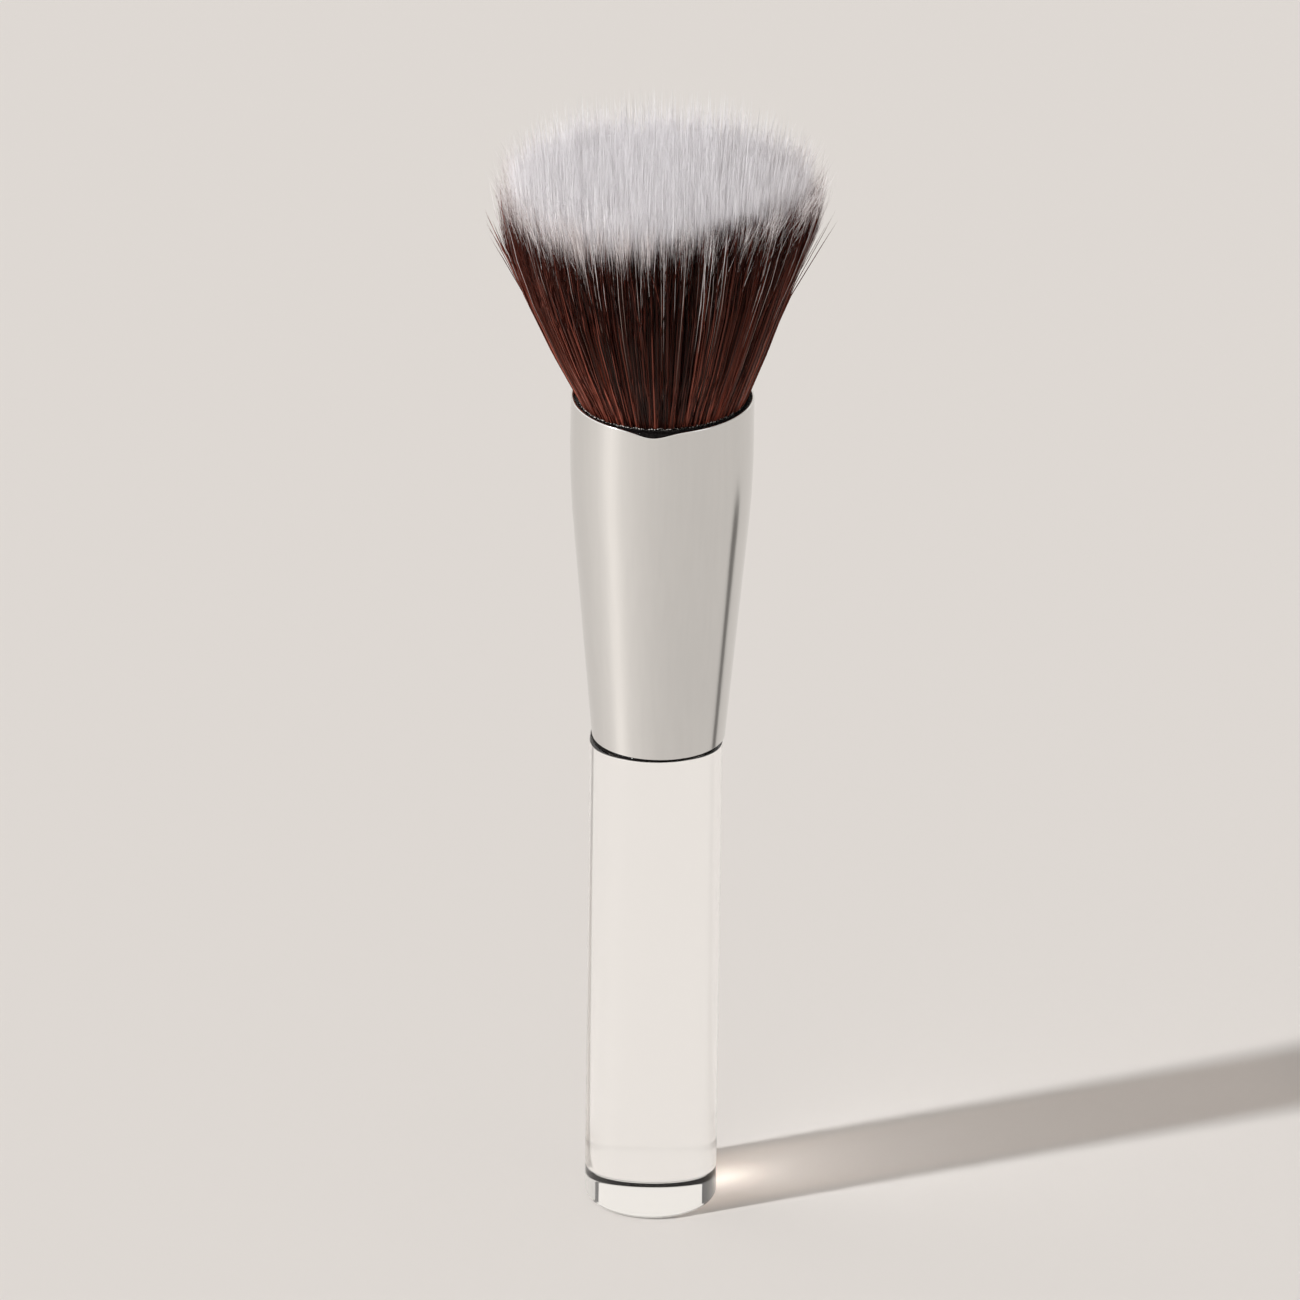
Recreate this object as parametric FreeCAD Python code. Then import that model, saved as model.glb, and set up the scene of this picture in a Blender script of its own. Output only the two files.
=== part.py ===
import FreeCAD, Part
import math
import os

# Stippling brush, standing upright on the flat end of its clear handle. Millimetres, +Z up.
# The origin is on the ground, on the axis of the ferrule and the fibres.

Vector = FreeCAD.Vector

# Handle: a clear rod with a thinner tenon on top, which goes into the ferrule
handle_radius = 9.5
handle_length = 72.4
base_edge_radius = 1.0
shoulder_edge_radius = 0.5
tenon_length = 14.0
tenon_edge_chamfer = 0.8
handle_side_shift = -0.3

# Ferrule: a thin tube, a cone below that turns into a short straight mouth
ferrule_length = 52.55
ferrule_foot_step = 0.02
ferrule_mouth_radius = 13.0
ferrule_wall = 0.4
mouth_corner_depth = 13.45
mouth_bend_reach = 6.2

# The rim is not cut level: it dips at the front and waves a little all round
rim_dip_depth = 0.8
rim_dip_angle = -96.0
rim_dip_width = 12.4
rim_wave_height = 0.46
rim_wave_count = 2
rim_wave_start = -18.0
rim_point_count = 180
rim_cut_margin = 1.0

# Adhesive: a sleeve round the tenon with a bead on the shoulder, and a plug round the fibre roots
tenon_glue_thickness = 0.9
glue_clearance = 0.02
shoulder_bead_height = 0.5
shoulder_bead_inset = 0.12
root_plug_depth = 11.0
root_plug_floor = 3.0
root_plug_below_rim = 0.75
root_meniscus_above_rim = 0.15
root_ring_width = 0.45

# Fibres: two bundles of locks. The brown one's height is above the mouth, and the white one's above that
head_radius = 23.8
dark_height = 28.8
white_past_dark = 6.0
lock_count = 72
lock_ridge = 0.7
lock_ridge_spread = 0.35
lock_ridge_full_share = 0.5
lock_angle_spread = 0.25
dark_tip_spread = 1.9
dark_tip_wave_share = 0.4
dark_tip_wave_count = 3
dark_tip_wave_start = 75.0
dark_notch_depth = 1.6
dark_root_thickness = 2.6
dark_top_thickness = 2.0
white_tip_spread = 0.9
white_notch_depth = 0.8
white_crown_rise = 0.6
white_edge_round = 1.1
tuft_spacing = 1.5
tuft_height = 0.8
tuft_row_shift = 7
fibre_clearance = 0.25
root_clearance = 0.05
facet_tolerance = 0.001

shoulder_z = handle_length
ferrule_foot_radius = handle_radius + ferrule_foot_step
tenon_radius = ferrule_foot_radius - ferrule_wall - tenon_glue_thickness
ferrule_foot_z = shoulder_z + shoulder_bead_height
mouth_z = ferrule_foot_z + ferrule_length
bore_mouth_radius = ferrule_mouth_radius - ferrule_wall
root_radius = bore_mouth_radius - root_ring_width
meniscus_z = mouth_z + root_meniscus_above_rim
plug_top_z = mouth_z - root_plug_below_rim
plug_bottom_z = mouth_z - root_plug_depth
root_floor_z = plug_bottom_z + root_plug_floor


def line(a, b):
    return Part.LineSegment(Vector(a[0], 0, a[1]), Vector(b[0], 0, b[1])).toShape()


def arc(a, middle, b):
    points = [Vector(p[0], 0, p[1]) for p in (a, middle, b)]
    return Part.Arc(*points).toShape()


def turned(edges):
    """A closed outline in the plane of radius and height, turned round the Z axis."""
    face = Part.Face(Part.Wire(edges))
    return face.revolve(Vector(0, 0, 0), Vector(0, 0, 1), 360)


def arc_points(centre, radius, start, end):
    """Three points of an arc: its start, middle and end, at angles in degrees."""
    angles = (start, (start + end) / 2, end)
    return [
        (centre[0] + radius * math.cos(math.radians(a)), centre[1] + radius * math.sin(math.radians(a)))
        for a in angles
    ]


def make_handle():
    """Rod, shoulder and tenon in one outline, from the axis out along the base and back over the tenon."""
    base = arc_points((handle_radius - base_edge_radius, base_edge_radius), base_edge_radius, -90, 0)
    shoulder = arc_points(
        (handle_radius - shoulder_edge_radius, shoulder_z - shoulder_edge_radius), shoulder_edge_radius, 0, 90
    )
    tenon_top = shoulder_z + tenon_length
    tenon_corner = (tenon_radius, tenon_top - tenon_edge_chamfer)
    tenon_end = (tenon_radius - tenon_edge_chamfer, tenon_top)
    rod = turned([
        line((0, 0), base[0]),
        arc(*base),
        line(base[2], shoulder[0]),
        arc(*shoulder),
        line(shoulder[2], (tenon_radius, shoulder_z)),
        line((tenon_radius, shoulder_z), tenon_corner),
        line(tenon_corner, tenon_end),
        line(tenon_end, (0, tenon_top)),
        line((0, tenon_top), (0, 0)),
    ])
    rod.translate(Vector(handle_side_shift, 0, 0))
    return rod


def ferrule_side(inset):
    """The ferrule's side at a depth inside its outer face: foot, start, middle and end of the bend.

    The cone's line runs from the foot to a corner on the mouth's line, and an arc that touches both lines
    rounds that corner. An inset moves all three inwards by the same amount.
    """
    corner_z = mouth_z - mouth_corner_depth
    lean = math.atan2(ferrule_mouth_radius - ferrule_foot_radius, corner_z - ferrule_foot_z)
    bend_radius = mouth_bend_reach / math.tan(lean / 2)
    centre = (ferrule_mouth_radius - bend_radius, corner_z + mouth_bend_reach)
    foot = (ferrule_foot_radius - inset / math.cos(lean), ferrule_foot_z)
    return [foot] + arc_points(centre, bend_radius - inset, -math.degrees(lean), 0)


def rim_drop(angle):
    """How far the rim lies below its highest level, at an angle in degrees round the axis."""
    away = (angle - rim_dip_angle + 180) % 360 - 180
    dip = rim_dip_depth * math.exp(-((away / rim_dip_width) ** 2))
    wave = rim_wave_height * (1 - math.cos(math.radians(rim_wave_count * (angle - rim_wave_start)))) / 2
    return dip + wave


def make_rim_cutter():
    """A wavy washer under the rim's own edge line, drawn up past the top of the tube."""
    reach = (bore_mouth_radius - rim_cut_margin, ferrule_mouth_radius + rim_cut_margin)
    edges = []
    for radius in reach:
        points = []
        for i in range(rim_point_count):
            angle = 360 * i / rim_point_count
            a = math.radians(angle)
            points.append(Vector(radius * math.cos(a), radius * math.sin(a), mouth_z - rim_drop(angle)))
        curve = Part.BSplineCurve()
        curve.interpolate(points, PeriodicFlag=True)
        edges.append(curve.toShape())
    return Part.makeRuledSurface(*edges).extrude(Vector(0, 0, rim_dip_depth + rim_wave_height + rim_cut_margin))


def make_ferrule():
    outer = ferrule_side(0)
    inner = ferrule_side(ferrule_wall)
    outer_top = (outer[3][0], mouth_z)
    inner_top = (inner[3][0], mouth_z)
    tube = turned([
        line(outer[0], outer[1]),
        arc(*outer[1:]),
        line(outer[3], outer_top),
        line(outer_top, inner_top),
        line(inner_top, inner[3]),
        arc(inner[3], inner[2], inner[1]),
        line(inner[1], inner[0]),
        line(inner[0], outer[0]),
    ])
    return tube.cut(make_rim_cutter())


def make_bore(top):
    """The space inside the ferrule, from its foot up to a height in its straight mouth."""
    inner = ferrule_side(ferrule_wall)
    return turned([
        line((0, inner[0][1]), inner[0]),
        line(inner[0], inner[1]),
        arc(*inner[1:]),
        line(inner[3], (inner[3][0], top)),
        line((inner[3][0], top), (0, top)),
        line((0, top), (0, inner[0][1])),
    ])


def cylinder(radius, low, high):
    return Part.makeCylinder(radius, high - low, Vector(0, 0, low))


def make_handle_glue():
    """What is left of the bore round the tenon, joined to a bead that fills the gap at the shoulder."""
    tenon_top = shoulder_z + tenon_length
    sleeve = make_bore(mouth_z).common(cylinder(ferrule_mouth_radius, ferrule_foot_z, tenon_top))
    round_centre = (handle_radius - shoulder_bead_inset - shoulder_bead_height / 2,
                    shoulder_z + shoulder_bead_height / 2)
    rounding = arc_points(round_centre, shoulder_bead_height / 2, -90, 90)
    bead = turned([
        line((0, shoulder_z), rounding[0]),
        arc(*rounding),
        line(rounding[2], (0, ferrule_foot_z)),
        line((0, ferrule_foot_z), (0, shoulder_z)),
    ])
    bead.translate(Vector(handle_side_shift, 0, 0))
    hole = cylinder(tenon_radius + glue_clearance, shoulder_z, tenon_top + 1)
    hole.translate(Vector(handle_side_shift, 0, 0))
    return sleeve.fuse(bead).cut(hole).removeSplitter()


def make_root_glue():
    """A plug in the mouth with a pocket for the bundle, and a low slope of glue up to the fibres."""
    plug = make_bore(plug_top_z).common(cylinder(ferrule_mouth_radius, plug_bottom_z, plug_top_z))
    slope = turned([
        line((root_radius / 2, plug_top_z), (bore_mouth_radius, plug_top_z)),
        line((bore_mouth_radius, plug_top_z), (root_radius, meniscus_z)),
        line((root_radius, meniscus_z), (root_radius / 2, meniscus_z)),
        line((root_radius / 2, meniscus_z), (root_radius / 2, plug_top_z)),
    ])
    pocket = cylinder(root_radius, root_floor_z, meniscus_z + 1)
    return plug.fuse(slope).cut(pocket).removeSplitter()


def scatter(i, turn):
    """An even spread of numbers from -1 to 1 that does not repeat: whole parts of steps of a fixed size."""
    return 2 * ((i * turn) % 1.0) - 1


golden_turn = 0.6180339887
root_two_turn = 0.4142135624
root_three_turn = 0.7320508076

ring_count = 2 * lock_count
ring_angles = [
    2 * math.pi * (i + lock_angle_spread * scatter(i, golden_turn)) / ring_count for i in range(ring_count)
]
white_height = dark_height + white_past_dark
root_height = root_floor_z - mouth_z
meniscus_height = meniscus_z - mouth_z
side_shares = (0.12, 0.3, 0.52, 0.76)
head_ring_steps = ((0.5, 1), (0.25, 2), (0.12, 4), (0, 8))


def is_notch(i):
    """Every second point of a ring lies in the groove between two locks."""
    return i % 2 == 1


def flare(height):
    """The bundle's outer radius at a height above the mouth: a quarter of a sine wave, glue to tips."""
    share = min(max((height - meniscus_height) / (white_height - meniscus_height), 0), 1)
    return root_radius + (head_radius - root_radius) * math.sin(math.pi / 2 * share)


def ridge_at(i):
    """How far a ring's point lies inside the flare: grooves differ in depth from lock to lock."""
    if not is_notch(i):
        return 0
    return lock_ridge * (1 - lock_ridge_spread * (1 - scatter(i, root_three_turn)))


def dark_top(i):
    """Height of the brown bundle's edge: each lock ends in its own tip, with a notch beside it."""
    wave = math.sin(dark_tip_wave_count * ring_angles[i] + math.radians(dark_tip_wave_start))
    own = scatter(i, root_two_turn)
    tip = dark_tip_spread * (own + dark_tip_wave_share * (wave - own))
    return dark_height + tip - (dark_notch_depth if is_notch(i) else 0)


def above_dark(i):
    return dark_top(i) + fibre_clearance


def white_edge(i):
    """Height of the white bundle's outer tips, with a notch between locks."""
    tip = white_tip_spread * scatter(i, root_three_turn)
    return white_height + tip - (white_notch_depth if is_notch(i) else 0)


def between(i):
    """Half-way up the white fibres that show above the brown ones."""
    return (above_dark(i) + white_edge(i)) / 2


def part_of(height_at, share):
    """A height function at a share of another one's height."""
    return lambda i: share * height_at(i)


def level(height):
    return lambda i: height


def core_radius(height):
    """The face between the two bundles: a wall of brown fibres stands outside it."""
    share = min(max(height / dark_height, 0), 1)
    wall = dark_root_thickness + (dark_top_thickness - dark_root_thickness) * share
    return flare(height) - lock_ridge - wall


def ring(radius_at, height_at, step=1):
    """One point for each ring angle, or for each second or fourth one, at a radius and a height."""
    points = []
    for i in range(0, ring_count, step):
        a = ring_angles[i]
        points.append(Vector(radius_at(i) * math.cos(a), radius_at(i) * math.sin(a), mouth_z + height_at(i)))
    return points


def outer_ring(height_at, ridge_share, inset=0.0):
    """A ring on the flare, with the grooves between locks at a share of their full depth."""
    return ring(lambda i: flare(height_at(i)) - ridge_share * ridge_at(i) - inset, height_at)


def inner_ring(height_at, inset=0.0, radius_height_at=None):
    """A ring on the face between the bundles."""
    return ring(lambda i: core_radius((radius_height_at or height_at)(i)) - inset, height_at)


def joined(low, high, low_start, high_start, back_slant):
    """The triangles between two rings, where the second one has as many points or half as many.

    Four points in a ring of quads have two diagonals: the back slant takes the other one.
    """
    facets = []
    n = len(high)
    for k in range(n):
        c, d = high_start + k, high_start + (k + 1) % n
        if len(low) == n:
            a, b = low_start + k, low_start + (k + 1) % n
            facets += [(a, b, c), (b, d, c)] if back_slant else [(a, b, d), (a, d, c)]
        else:
            a, m, b = (low_start + (2 * k + j) % len(low) for j in range(3))
            facets += [(a, m, c), (m, d, c), (m, b, d)]
    return facets


def closed_solid(rings, first_centre=None, last_centre=None, back_slant=False):
    """A solid from a chain of rings, which closes on itself or ends on a centre point at each end."""
    points = [p for one in rings for p in one]
    starts = [sum(len(one) for one in rings[:k]) for k in range(len(rings))]
    facets = []
    for k in range(len(rings) - 1):
        facets += joined(rings[k], rings[k + 1], starts[k], starts[k + 1], back_slant)
    if first_centre is None:
        facets += joined(rings[-1], rings[0], starts[-1], starts[0], back_slant)
    else:
        first, last = len(points), len(points) + 1
        points += [first_centre, last_centre]
        n = len(rings[0])
        facets += [(first, (i + 1) % n, i) for i in range(n)]
        n = len(rings[-1])
        facets += [(last, starts[-1] + i, starts[-1] + (i + 1) % n) for i in range(n)]
    shell = Part.Shape()
    shell.makeShapeFromMesh((points, facets), facet_tolerance)
    return Part.makeSolid(shell)


def make_dark_fibres():
    """A flaring sleeve of locks: up its outer face, over its ragged top and down its inner face."""
    rings = [
        outer_ring(level(root_height), 0, root_clearance),
        outer_ring(level(meniscus_height), 0, root_clearance),
    ]
    for share in side_shares:
        rings.append(outer_ring(part_of(dark_top, share), min(1, share / lock_ridge_full_share)))
    rings.append(outer_ring(dark_top, 1))
    for share in (1, side_shares[2], side_shares[0]):
        rings.append(inner_ring(part_of(dark_top, share)))
    rings.append(inner_ring(level(root_height)))
    return closed_solid(rings)


def make_head_rings():
    """The flat head's rings of tufts, from the edge in: tips and dips alternate along and across them.

    Towards the middle a ring has every second, fourth or eighth angle only, to keep the tufts of one size.
    """
    rings = []
    row_count = int((head_radius - white_edge_round) / tuft_spacing)
    for row in range(1, row_count):
        radius = (head_radius - white_edge_round) * (1 - row / row_count)
        share = radius / head_radius
        step = next(step for least_share, step in head_ring_steps if share > least_share)

        def height_at(i, row=row, share=share, step=step):
            tuft = tuft_height / 2 if (i // step + row) % 2 else -tuft_height / 2
            tip = white_tip_spread * scatter(i + tuft_row_shift * row, root_two_turn) / 2
            return white_height + white_crown_rise * (1 - share * share) + tuft + tip

        rings.append(ring(lambda i, radius=radius: radius, height_at, step))
    return rings


def make_white_fibres():
    """A core inside the sleeve, a crown over its ragged top, and a nearly flat head of uneven tufts.

    It runs along the sleeve the other way, so its diagonals slant back to lie along the sleeve's.
    """
    rings = [inner_ring(level(root_height), fibre_clearance)]
    for share in (side_shares[0], side_shares[2], 1):
        rings.append(inner_ring(part_of(dark_top, share), fibre_clearance))
    rings.append(inner_ring(above_dark, fibre_clearance, dark_top))
    rings.append(outer_ring(above_dark, 1))
    rings.append(outer_ring(between, 1))
    rings.append(outer_ring(white_edge, 1, white_edge_round))
    rings += make_head_rings()
    bottom = Vector(0, 0, root_floor_z)
    top = Vector(0, 0, mouth_z + white_height + white_crown_rise)
    return closed_solid(rings, bottom, top, back_slant=True)


def main():
    nodes = {
        "handle": make_handle(),
        "ferrule": make_ferrule(),
        "handle_glue": make_handle_glue(),
        "root_glue": make_root_glue(),
        "dark_fibres": make_dark_fibres(),
        "white_fibres": make_white_fibres(),
    }
    os.makedirs("parts", exist_ok=True)
    for name, shape in nodes.items():
        shape.exportStep("parts/" + name + ".step")
        box = shape.BoundBox
        print(
            name, "solids", len(shape.Solids), "faces", len(shape.Faces), "valid", shape.isValid(),
            "volume", round(shape.Volume, 2), "height", round(box.ZMin, 3), round(box.ZMax, 3),
            "across", round(box.XMin, 3), round(box.XMax, 3), round(box.YMin, 3), round(box.YMax, 3),
        )


main()
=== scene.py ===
import math

import bpy
import numpy as np
from mathutils import Matrix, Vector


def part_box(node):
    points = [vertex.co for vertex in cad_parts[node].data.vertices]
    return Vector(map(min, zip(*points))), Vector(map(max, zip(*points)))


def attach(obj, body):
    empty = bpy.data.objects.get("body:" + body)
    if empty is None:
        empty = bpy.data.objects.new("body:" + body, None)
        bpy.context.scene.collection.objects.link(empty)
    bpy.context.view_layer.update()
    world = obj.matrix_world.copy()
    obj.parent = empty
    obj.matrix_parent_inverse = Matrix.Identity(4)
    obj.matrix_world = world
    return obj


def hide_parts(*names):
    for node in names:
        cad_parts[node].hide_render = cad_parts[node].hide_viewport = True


# Stippling brush: the looks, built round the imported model. Metres, +Z up, -Y towards the viewer.

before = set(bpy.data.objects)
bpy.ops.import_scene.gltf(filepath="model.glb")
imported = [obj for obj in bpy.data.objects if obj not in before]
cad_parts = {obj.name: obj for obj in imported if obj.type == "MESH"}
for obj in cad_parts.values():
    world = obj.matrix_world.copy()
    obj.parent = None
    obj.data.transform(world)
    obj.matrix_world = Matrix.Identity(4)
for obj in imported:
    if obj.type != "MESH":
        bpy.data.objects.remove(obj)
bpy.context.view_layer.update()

mm = 0.001

# Places and sizes read from the frame
handle_low, handle_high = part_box("handle")
ferrule_low, ferrule_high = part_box("ferrule")
bead_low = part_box("handle_glue")[0]
root_glue_low, root_glue_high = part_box("root_glue")
handle_x = (handle_low[0] + handle_high[0]) / 2
handle_radius = (handle_high[0] - handle_low[0]) / 2
tenon_top = handle_high[2]
shoulder_z = bead_low[2]
foot_z = ferrule_low[2]
mouth_z = ferrule_high[2]
mouth_radius = (ferrule_high[0] - ferrule_low[0]) / 2
glue_top = root_glue_high[2]
glue_floor = root_glue_low[2]
bore_radius = (root_glue_high[0] - root_glue_low[0]) / 2
head_radius = 23.8 * mm

# Handle
rod_segments = 256
base_edge_radius = 1.0 * mm
shoulder_edge_radius = 0.5 * mm
tenon_radius = 8.22 * mm
tenon_chamfer = 0.8 * mm
bead_segments = 192
bead_inset = 0.12 * mm
bond_depth = 0.03 * mm

# Ferrule
tube_segments = 288
foot_radius = handle_radius + 0.02 * mm
wall = mouth_radius - bore_radius
corner_depth = 13.45 * mm
bend_reach = 6.2 * mm
rim_round = 0.19 * mm
rim_dip_depth = 0.8 * mm
rim_dip_angle = -96.0
rim_dip_width = 12.4
rim_wave_height = 0.46 * mm
rim_wave_count = 2
rim_wave_start = -18.0

# Root glue
plug_segments = 360
glue_ring_width = 0.45 * mm
glue_below_rim = 0.75 * mm
glue_creep = -0.2 * mm
glue_skin = 0.1 * mm
glue_lump = 0.05
glue_tilt = 0.49
root_radius = bore_radius - glue_ring_width
root_start = -0.7 * mm

# Filaments: heights are above the mouth, and a reach is a share of the flare's radius
white_height = 34.8 * mm
dark_height = 28.8 * mm
pieces_of_each = 3
core_segments = 144
turn_between_tubes = 2.4

# The lean of the +X side, and the place where the brown tips reach highest
head_lean = 2.3 * mm
lean_full_height = 15 * mm
lean_fade_start = 20 * mm
lean_fade_length = 25 * mm
tip_crest = 5.6 * mm
tip_crest_angle = -60.0
tip_crest_width = 50.0

# Brown filaments
dark_count = 16500
dark_width = 0.14 * mm
dark_inner_reach = 0.78
dark_locks = 700
dark_pull = 0.4
dark_tip_below = 1.9 * mm
dark_tip_spread = 1.5 * mm
dark_tip_cap = 0.3 * mm
dark_tufts = 110
tuft_spread = 0.9 * mm
tuft_lowest = -2 * mm
tuft_highest = 1.6 * mm
long_dark_share = 0.13
long_dark_mean = 1.8 * mm
long_dark_most = 5.5 * mm
stray_dark_share = 0.018

# White filaments
white_count = 36000
white_width = 0.075 * mm
white_outer_reach = 0.87
white_start = 0.7 * dark_height
white_locks = 900
white_tip_below = 2.3 * mm
long_white_mean = 1.9 * mm
long_white_most = 6.2 * mm
stray_white_share = 0.03
white_splay = 0.07
crest_hold = 0.85

# White streaks between the brown filaments
streak_count = 2400
streak_width = 0.08 * mm
streak_locks = 170
streak_lock_width = 0.012
bold_share = 0.08
streak_tip_above = 1.4 * mm
streak_tip_spread = 2.6 * mm
streak_splay = 0.04

# Camera, in pixels of the picture's 1300 x 1300 frame
picture_size = 1300
focal_pixels = 15401.0
camera_distance = 2.0
camera_height = 0.9849
camera_pitch = 24.206
camera_roll = 0.72
axis_pixel_x = 659.2

# Lamp: the turn of its direction from -X towards -Y, and its height
lamp_azimuth = 23.2
lamp_rise = 36.0


def unit(vectors):
    """Each vector divided by its own length."""
    return vectors / np.maximum(np.linalg.norm(vectors, axis=-1, keepdims=True), 1e-12)


def make_mesh(name, points, quads=None, triangles=None, smooth=True):
    """A mesh object from an array of points and arrays of four and three corners."""
    quads = np.zeros((0, 4), int) if quads is None else quads
    triangles = np.zeros((0, 3), int) if triangles is None else triangles
    mesh = bpy.data.meshes.new(name)
    corners = np.concatenate([quads.ravel(), triangles.ravel()]).astype(np.int32)
    starts = np.concatenate([
        np.arange(len(quads)) * 4,
        quads.size + np.arange(len(triangles)) * 3,
    ]).astype(np.int32)
    mesh.vertices.add(len(points))
    mesh.vertices.foreach_set("co", np.ascontiguousarray(points, np.float32).ravel())
    mesh.loops.add(len(corners))
    mesh.loops.foreach_set("vertex_index", corners)
    mesh.polygons.add(len(starts))
    mesh.polygons.foreach_set("loop_start", starts)
    mesh.update(calc_edges=True)
    mesh.validate()
    if smooth:
        mesh.shade_smooth()
    else:
        mesh.shade_flat()
    obj = bpy.data.objects.new(name, mesh)
    bpy.context.scene.collection.objects.link(obj)
    return obj


def lathe(name, profile, segments, centre_x=0.0, drop=None, closed=False):
    """A profile of radii and heights turned round an upright axis.

    Point (i, k) is radius k times the cosine and sine of angle i, at height k. A drop lowers each point
    by an amount that depends on its angle, times its own weight, the profile's third number. An open
    profile starts and ends on the axis, where one point closes it. A closed one joins end to start.
    """
    profile = np.asarray(profile, float)
    angles = np.arange(segments) * 2 * np.pi / segments
    rings = profile if closed else profile[1:-1]
    count = len(rings)
    x = centre_x + np.outer(np.cos(angles), rings[:, 0])
    y = np.outer(np.sin(angles), rings[:, 0])
    z = np.tile(rings[:, 1], (segments, 1))
    if drop is not None:
        z = z - np.outer(drop(angles), rings[:, 2])
    points = np.stack([x, y, z], axis=-1).reshape(-1, 3)
    i = np.arange(segments)[:, None]
    j = (i + 1) % segments
    k = np.arange(count if closed else count - 1)[None, :]
    after = (k + 1) % count
    quads = np.stack([i * count + k, j * count + k, j * count + after, i * count + after], -1)
    quads = quads.reshape(-1, 4)
    triangles = None
    if not closed:
        points = np.vstack([points, [centre_x, 0, profile[0, 1]], [centre_x, 0, profile[-1, 1]]])
        first, last = len(points) - 2, len(points) - 1
        i, j = i[:, 0], j[:, 0]
        start = np.stack([np.full(segments, first), j * count, i * count], -1)
        end = np.stack([np.full(segments, last), i * count + count - 1, j * count + count - 1], -1)
        triangles = np.vstack([start, end])
    return make_mesh(name, points, quads, triangles)


def arc(centre, radius, start, end, steps):
    """Points on a circle from one angle to another, in degrees."""
    angles = np.radians(np.linspace(start, end, steps))
    return np.stack([centre[0] + radius * np.cos(angles), centre[1] + radius * np.sin(angles)], -1)


def along(a, b, steps):
    """Points on a straight line between two points, with neither end."""
    share = np.linspace(0, 1, steps + 2)[1:-1, None]
    return np.asarray(a) * (1 - share) + np.asarray(b) * share


def crease(obj, degrees):
    """Edges that turn by more than an angle are sharp, and the rest stay smooth."""
    obj.data.set_sharp_from_angle(angle=math.radians(degrees))


def new_material(name):
    """A material with its Principled shader, ready for its nodes."""
    material = bpy.data.materials.new(name)
    material.use_nodes = True
    nodes = material.node_tree.nodes
    return material, nodes, material.node_tree.links, nodes["Principled BSDF"]


def new_group(name, inputs, outputs):
    """A shader node group with named sockets, and its own input and output nodes."""
    group = bpy.data.node_groups.new(name, "ShaderNodeTree")
    for label, kind, value in inputs:
        socket = group.interface.new_socket(name=label, in_out="INPUT", socket_type=kind)
        socket.default_value = value
    for label, kind in outputs:
        group.interface.new_socket(name=label, in_out="OUTPUT", socket_type=kind)
    return group, group.nodes.new("NodeGroupInput"), group.nodes.new("NodeGroupOutput")


def place(nodes, group, **values):
    """A copy of a group in a material, with its input values set by name."""
    node = nodes.new("ShaderNodeGroup")
    node.node_tree = group
    for label, value in values.items():
        node.inputs[label.replace("_", " ")].default_value = value
    return node


def math_node(nodes, links, operation, a, b=None, clamp=False):
    """A Math node whose inputs are sockets or plain numbers. Returns its output."""
    node = nodes.new("ShaderNodeMath")
    node.operation = operation
    node.use_clamp = clamp
    for socket, value in zip(node.inputs, (a, b)):
        if isinstance(value, bpy.types.NodeSocket):
            links.new(value, socket)
        elif value is not None:
            socket.default_value = value
    return node.outputs[0]


def mix_colour(nodes, links, factor, a, b):
    """A colour mix whose inputs are sockets or plain values. Returns its output."""
    node = nodes.new("ShaderNodeMix")
    node.data_type = "RGBA"
    for socket, value in zip((node.inputs[0], node.inputs[6], node.inputs[7]), (factor, a, b)):
        if isinstance(value, bpy.types.NodeSocket):
            links.new(value, socket)
        else:
            socket.default_value = value
    return node.outputs[2]


def scale_colour(nodes, links, colour, factor):
    """A colour, a socket's or a plain one, times the number of a socket. Returns its output."""
    node = nodes.new("ShaderNodeVectorMath")
    node.operation = "SCALE"
    if isinstance(colour, bpy.types.NodeSocket):
        links.new(colour, node.inputs[0])
    else:
        node.inputs[0].default_value = colour
    links.new(factor, node.inputs["Scale"])
    return node.outputs[0]


def make_grain_group():
    """Fine marks: noise on Object coordinates, stretched by a factor along each axis.

    Marks come out as a mask from 0 to 1, and Height is the same noise for a Bump node.
    """
    group, given, out = new_group(
        "fine_marks",
        [("Stretch", "NodeSocketVector", (1.0, 1.0, 1.0)), ("Scale", "NodeSocketFloat", 1000.0),
         ("Detail", "NodeSocketFloat", 3.0), ("Low", "NodeSocketFloat", 0.4),
         ("High", "NodeSocketFloat", 0.7)],
        [("Marks", "NodeSocketFloat"), ("Height", "NodeSocketFloat")],
    )
    nodes, links = group.nodes, group.links
    position = nodes.new("ShaderNodeTexCoord")
    stretch = nodes.new("ShaderNodeVectorMath")
    stretch.operation = "MULTIPLY"
    noise = nodes.new("ShaderNodeTexNoise")
    limits = nodes.new("ShaderNodeMapRange")
    links.new(position.outputs["Object"], stretch.inputs[0])
    links.new(given.outputs["Stretch"], stretch.inputs[1])
    links.new(stretch.outputs[0], noise.inputs["Vector"])
    links.new(given.outputs["Scale"], noise.inputs["Scale"])
    links.new(given.outputs["Detail"], noise.inputs["Detail"])
    links.new(noise.outputs["Fac"], limits.inputs["Value"])
    links.new(given.outputs["Low"], limits.inputs["From Min"])
    links.new(given.outputs["High"], limits.inputs["From Max"])
    links.new(limits.outputs[0], out.inputs["Marks"])
    links.new(noise.outputs["Fac"], out.inputs["Height"])
    return group


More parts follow.
